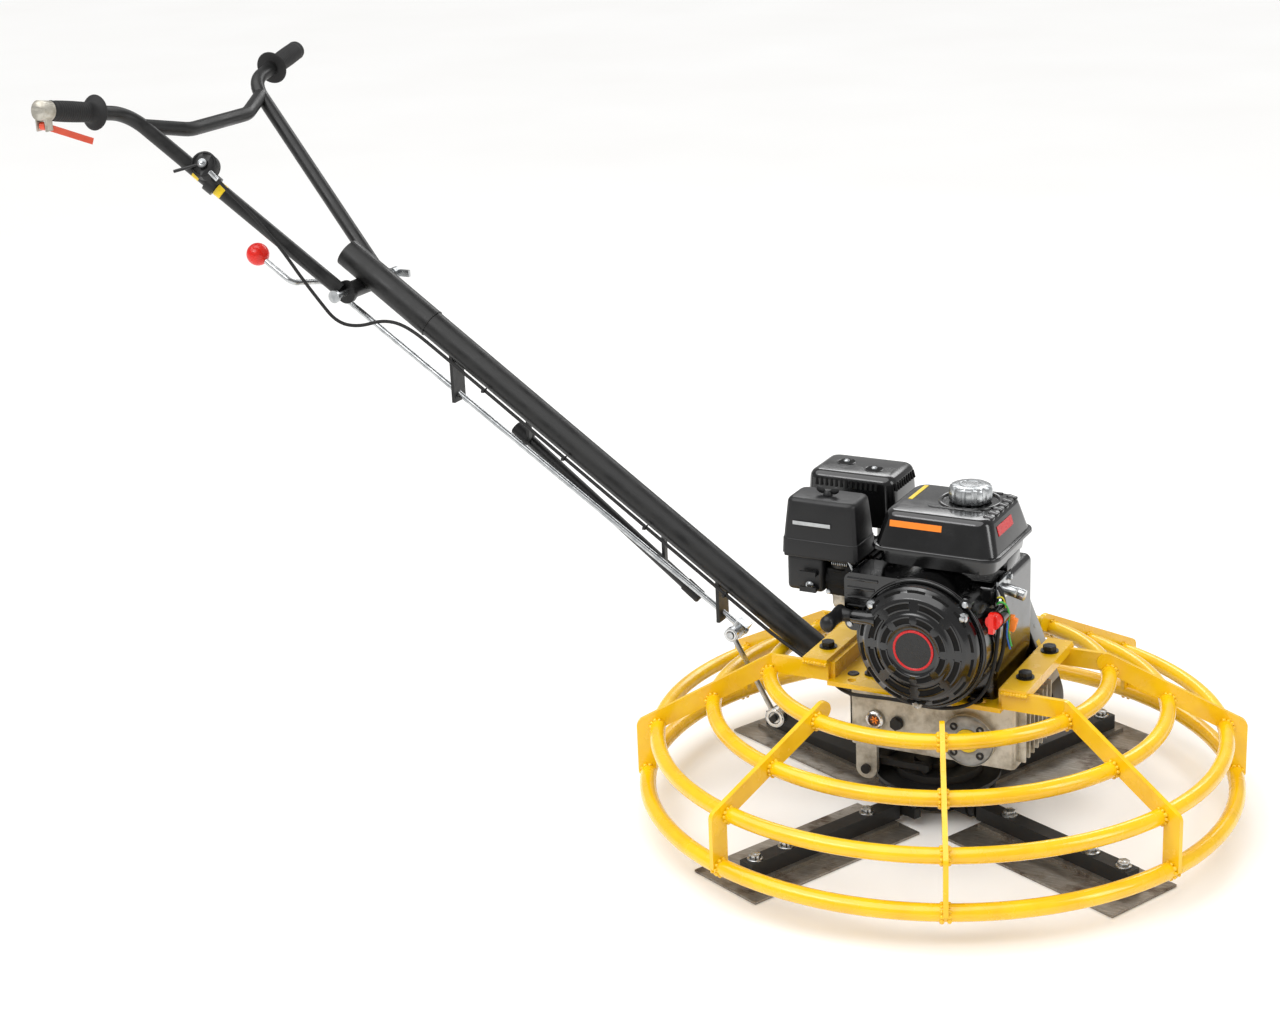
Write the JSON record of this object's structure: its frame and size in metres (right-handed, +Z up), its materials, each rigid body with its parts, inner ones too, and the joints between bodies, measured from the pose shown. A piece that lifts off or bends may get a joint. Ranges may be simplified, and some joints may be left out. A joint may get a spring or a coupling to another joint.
{
  "type": "power trowel",
  "caption": "Walk-behind power trowel with a ringed guard, flat steel blades, a petrol engine, worm gearbox and a sloping handle with pitch crank.",
  "frame": {"origin": "on the rotor's axis, on the floor that the blades rest on", "axes": "+Z up along the rotor's axis, handle towards -X, engine crankshaft along Y with the recoil starter on -Y"},
  "size_m": [1.9277, 0.979, 1.1597],
  "materials": {
    "yellow_paint": "gloss enamel",
    "black_paint": "satin powder coat",
    "engine_black": "gloss enamel",
    "black_plastic": "moulded",
    "rubber": "moulded",
    "cast_aluminium": "as cast",
    "zinc_steel": "zinc plated",
    "blade_steel": "scuffed",
    "inner_steel": "machined",
    "red_plastic": "moulded",
    "orange_paint": "enamel",
    "glass": "clear"
  },
  "bodies": {
    "chassis": {"guard_ring_bottom": "yellow_paint", "guard_rings_upper": "yellow_paint", "guard_spokes": "yellow_paint", "base_plate": "yellow_paint", "frame_bolts": "black_paint", "gearbox_housing": "cast_aluminium", "gearbox_cover": "cast_aluminium", "gearbox_screws": "black_paint", "oil_sight_glass": "glass", "shaft_bearings": "inner_steel", "v_belt": "rubber", "belt_cover": "black_paint", "crankcase": "engine_black", "cylinder_head": "engine_black", "fan_shroud": "engine_black", "recoil_cover": "engine_black", "starter_rope": "rubber", "fuel_tank": "engine_black", "air_cleaner": "black_plastic", "carburettor": "black_plastic", "muffler": "inner_steel", "muffler_guard": "engine_black", "main_tube": "black_paint", "lifting_pole": "black_paint", "pivot_bolt": "zinc_steel", "throttle_cable_lower": "rubber"},
    "rotor": {"spider_hub": "black_paint", "output_shaft": "inner_steel"},
    "arm_1": {"arm_1": "black_paint", "blade_1": "blade_steel"},
    "arm_2": {"arm_2": "black_paint", "blade_2": "blade_steel"},
    "arm_3": {"arm_3": "black_paint", "blade_3": "blade_steel"},
    "arm_4": {"arm_4": "black_paint", "blade_4": "blade_steel"},
    "pressure_plate": {"pressure_plate": "black_paint"},
    "thrust_collar": {"thrust_collar": "black_paint"},
    "yoke": {"pitch_yoke": "black_paint"},
    "link": {"pitch_link": "zinc_steel"},
    "nut": {"pitch_nut": "zinc_steel"},
    "pitch_crank": {"crank_rod": "zinc_steel", "crank_knob": "red_plastic"},
    "worm": {"worm_shaft": "inner_steel", "gearbox_pulley": "inner_steel"},
    "engine_shaft": {"crankshaft": "inner_steel", "clutch_pulley": "inner_steel"},
    "starter": {"starter_grip": "black_plastic"},
    "fuel_cap": {"fuel_cap": "cast_aluminium"},
    "cleaner_nut": {"air_cleaner_nut": "black_plastic"},
    "choke": {"choke_lever": "black_plastic"},
    "fuel_valve": {"fuel_lever": "black_plastic"},
    "stop_switch": {"engine_switch": "red_plastic"},
    "handlebar": {"handlebar": "black_paint", "handle_grips": "rubber", "control_clamps": "zinc_steel", "throttle_cable_upper": "rubber"},
    "clamp": {"clamp_handle": "zinc_steel"},
    "throttle": {"throttle_lever": "zinc_steel"},
    "stop_lever": {"stop_lever": "orange_paint"}
  },
  "joints": [
    {"name": "rotor_spin", "type": "hinge", "parent": "chassis", "child": "rotor", "pos_m": [0, 0, 0.1], "axis": [0, 0, 1], "continuous": true},
    {"name": "pitch_crank_turn", "type": "hinge", "parent": "chassis", "child": "pitch_crank", "pos_m": [-1.147, 0, 0.793], "axis": [-0.8301, 0, 0.5576], "range_deg": [0, 1310]},
    {"name": "nut_travel", "type": "slide", "parent": "chassis", "child": "nut", "axis": [-0.8301, 0, 0.5576], "range_m": [0, 0.011]},
    {"name": "yoke_tilt", "type": "hinge", "parent": "chassis", "child": "yoke", "pos_m": [-0.092, 0, 0.082], "axis": [0, 1, 0], "range_deg": [0, 4.4]},
    {"name": "link_swing", "type": "hinge", "parent": "yoke", "child": "link", "pos_m": [-0.275, -0.035, 0.122], "axis": [0, 1, 0], "range_deg": [-9.9, 0]},
    {"name": "collar_travel", "type": "slide", "parent": "chassis", "child": "thrust_collar", "axis": [0, 0, 1], "range_m": [-0.00705, 0]},
    {"name": "plate_travel", "type": "slide", "parent": "rotor", "child": "pressure_plate", "axis": [0, 0, 1], "range_m": [-0.00705, 0]},
    {"name": "worm_spin", "type": "hinge", "parent": "chassis", "child": "worm", "pos_m": [0.084, 0, 0.165], "axis": [0, 1, 0], "continuous": true},
    {"name": "engine_spin", "type": "hinge", "parent": "chassis", "child": "engine_shaft", "pos_m": [0.03, 0, 0.345], "axis": [0, 1, 0], "continuous": true},
    {"name": "starter_pull", "type": "slide", "parent": "chassis", "child": "starter", "axis": [-1, 0, 0], "range_m": [0, 0.55], "deforming": ["starter_rope"]},
    {"name": "fuel_cap_turn", "type": "hinge", "parent": "chassis", "child": "fuel_cap", "pos_m": [0.06, -0.015, 0.55], "axis": [0, 0, 1], "range_deg": [0, 90]},
    {"name": "cleaner_nut_turn", "type": "hinge", "parent": "chassis", "child": "cleaner_nut", "pos_m": [-0.152, -0.083, 0.55], "axis": [0, 0, 1], "range_deg": [0, 720]},
    {"name": "choke_turn", "type": "hinge", "parent": "chassis", "child": "choke", "pos_m": [-0.159, -0.122, 0.424], "axis": [0, 1, 0], "range_deg": [-25, 35]},
    {"name": "fuel_valve_turn", "type": "hinge", "parent": "chassis", "child": "fuel_valve", "pos_m": [-0.159, -0.122, 0.398], "axis": [0, 1, 0], "range_deg": [-35, 25]},
    {"name": "stop_switch_turn", "type": "hinge", "parent": "chassis", "child": "stop_switch", "pos_m": [0.143, -0.135, 0.393], "axis": [0, 1, 0], "range_deg": [0, 35]},
    {"name": "handlebar_tilt", "type": "hinge", "parent": "chassis", "child": "handlebar", "pos_m": [-1.06542, 0, 0.79221], "axis": [0, 1, 0], "range_deg": [-25, 30], "deforming": ["throttle_cable_upper"]},
    {"name": "clamp_turn", "type": "hinge", "parent": "chassis", "child": "clamp", "pos_m": [-1.06542, 0, 0.79221], "axis": [0, 1, 0], "range_deg": [0, 180]},
    {"name": "throttle_turn", "type": "hinge", "parent": "handlebar", "child": "throttle", "pos_m": [-1.26902, -0.14397, 1.01743], "axis": [0.2562, -0.8197, 0.5123], "range_deg": [0, 50]},
    {"name": "stop_lever_pull", "type": "hinge", "parent": "handlebar", "child": "stop_lever", "pos_m": [-1.42066, -0.35865, 1.11612], "axis": [1, 0, 0], "range_deg": [0, 6]},
    {"name": "arm_1_pitch", "type": "hinge", "parent": "rotor", "child": "arm_1", "pos_m": [0.0244, 0.05481, 0.024], "axis": [0.4067, 0.9135, 0], "range_deg": [-12.3, 0]},
    {"name": "arm_2_pitch", "type": "hinge", "parent": "rotor", "child": "arm_2", "pos_m": [-0.05481, 0.0244, 0.024], "axis": [-0.9135, 0.4067, 0], "range_deg": [-12.3, 0]},
    {"name": "arm_3_pitch", "type": "hinge", "parent": "rotor", "child": "arm_3", "pos_m": [-0.0244, -0.05481, 0.024], "axis": [-0.4067, -0.9135, 0], "range_deg": [-12.3, 0]},
    {"name": "arm_4_pitch", "type": "hinge", "parent": "rotor", "child": "arm_4", "pos_m": [0.05481, -0.0244, 0.024], "axis": [0.9135, -0.4067, 0], "range_deg": [-12.3, 0]}
  ],
  "couplings": [
    {"joint": "nut_travel", "follows": "pitch_crank_turn", "m_per_rad": 0.00047746},
    {"joint": "yoke_tilt", "follows": "pitch_crank_turn", "ratio": 0.0033195},
    {"joint": "link_swing", "follows": "pitch_crank_turn", "ratio": -0.0074134},
    {"joint": "collar_travel", "follows": "pitch_crank_turn", "m_per_rad": -0.00030393},
    {"joint": "plate_travel", "follows": "pitch_crank_turn", "m_per_rad": -0.00030393},
    {"joint": "worm_spin", "follows": "rotor_spin", "ratio": 24},
    {"joint": "engine_spin", "follows": "rotor_spin", "ratio": 33.6},
    {"joint": "arm_1_pitch", "follows": "pitch_crank_turn", "ratio": -0.0092083},
    {"joint": "arm_2_pitch", "follows": "pitch_crank_turn", "ratio": -0.0092083},
    {"joint": "arm_3_pitch", "follows": "pitch_crank_turn", "ratio": -0.0092083},
    {"joint": "arm_4_pitch", "follows": "pitch_crank_turn", "ratio": -0.0092083}
  ]
}
